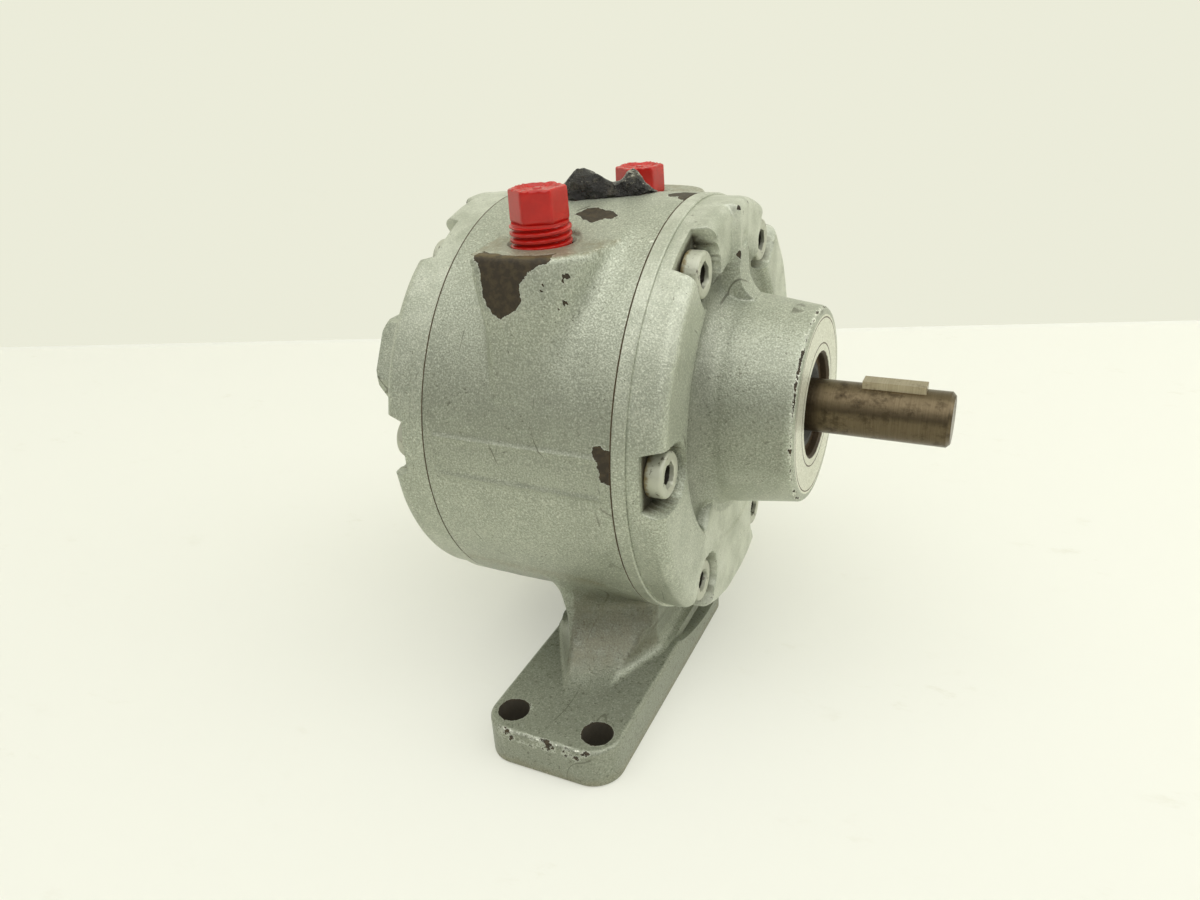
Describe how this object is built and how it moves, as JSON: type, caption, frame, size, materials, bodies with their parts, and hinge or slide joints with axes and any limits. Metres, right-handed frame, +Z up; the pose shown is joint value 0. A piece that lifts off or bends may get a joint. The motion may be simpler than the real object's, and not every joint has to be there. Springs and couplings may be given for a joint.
{
  "type": "air vane motor",
  "caption": "Foot-mounted rotary vane air motor: cast cylinder body with lobed end covers, plugged top ports, hubbed drive end and keyed output shaft.",
  "frame": {"origin": "middle of the foot's width on the mounting plane, straight below the shaft's axis", "axes": "+X along the output shaft away from the drive-end cover, +Z up from the mounting plane, +Y along the foot"},
  "size_m": [0.186, 0.15, 0.1544],
  "materials": {
    "casting_paint": "grey speckled enamel over cast iron, chipped in places",
    "screw_steel": "plated steel with paint and grime on the heads",
    "worn_steel": "turned steel gone brown with light rust",
    "bright_steel": "ground bearing steel",
    "rotor_iron": "machined cast iron",
    "vane_composite": "pressed fibre composite",
    "cage_brass": "stamped brass",
    "seal_rubber": "moulded black rubber",
    "red_plastic": "moulded red plastic with whitened scuffs",
    "black_film": "crumpled black film with silvery creases"
  },
  "bodies": {
    "housing": {"body_casting": "casting_paint", "drive_end_cover": "casting_paint", "dead_end_cover": "casting_paint", "drive_end_screws": "screw_steel", "dead_end_screws": "screw_steel", "drive_end_dowels": "bright_steel", "dead_end_dowels": "bright_steel", "end_cap": "casting_paint", "end_cap_oring": "seal_rubber", "drive_bearing_outer": "bright_steel", "dead_bearing_outer": "bright_steel", "retaining_ring": "bright_steel", "wave_washer": "bright_steel", "seal_case": "bright_steel", "seal_lip": "seal_rubber", "plug_near": "red_plastic", "plug_far": "red_plastic", "wrapping_scrap": "black_film"},
    "rotor_unit": {"shaft": "worn_steel", "shaft_key": "worn_steel", "rotor": "rotor_iron", "drive_bearing_inner": "bright_steel", "dead_bearing_inner": "bright_steel"},
    "vane_body_1": {"vane_1": "vane_composite"},
    "vane_body_2": {"vane_2": "vane_composite"},
    "vane_body_3": {"vane_3": "vane_composite"},
    "vane_body_4": {"vane_4": "vane_composite"},
    "drive_ball_set": {"drive_bearing_balls": "bright_steel", "drive_bearing_cage": "cage_brass"},
    "dead_ball_set": {"dead_bearing_balls": "bright_steel", "dead_bearing_cage": "cage_brass"}
  },
  "joints": [
    {"name": "rotor_spin", "type": "hinge", "parent": "housing", "child": "rotor_unit", "pos_m": [0, 0, 0.086], "axis": [1, 0, 0], "continuous": true},
    {"name": "vane_1_slide", "type": "slide", "parent": "rotor_unit", "child": "vane_body_1", "axis": [0, -0.7071, 0.7071], "range_m": [0, 0.0012]},
    {"name": "vane_2_slide", "type": "slide", "parent": "rotor_unit", "child": "vane_body_2", "axis": [0, -0.7071, -0.7071], "range_m": [0, 0.0012]},
    {"name": "vane_3_slide", "type": "slide", "parent": "rotor_unit", "child": "vane_body_3", "axis": [0, 0.7071, -0.7071], "range_m": [0, 0.0012]},
    {"name": "vane_4_slide", "type": "slide", "parent": "rotor_unit", "child": "vane_body_4", "axis": [0, 0.7071, 0.7071], "range_m": [0, 0.0012]},
    {"name": "drive_balls_spin", "type": "hinge", "parent": "housing", "child": "drive_ball_set", "pos_m": [0, 0, 0.086], "axis": [1, 0, 0], "continuous": true},
    {"name": "dead_balls_spin", "type": "hinge", "parent": "housing", "child": "dead_ball_set", "pos_m": [0, 0, 0.086], "axis": [1, 0, 0], "continuous": true}
  ],
  "couplings": [
    {"joint": "drive_balls_spin", "follows": "rotor_spin", "ratio": 0.38246},
    {"joint": "dead_balls_spin", "follows": "rotor_spin", "ratio": 0.38246}
  ]
}
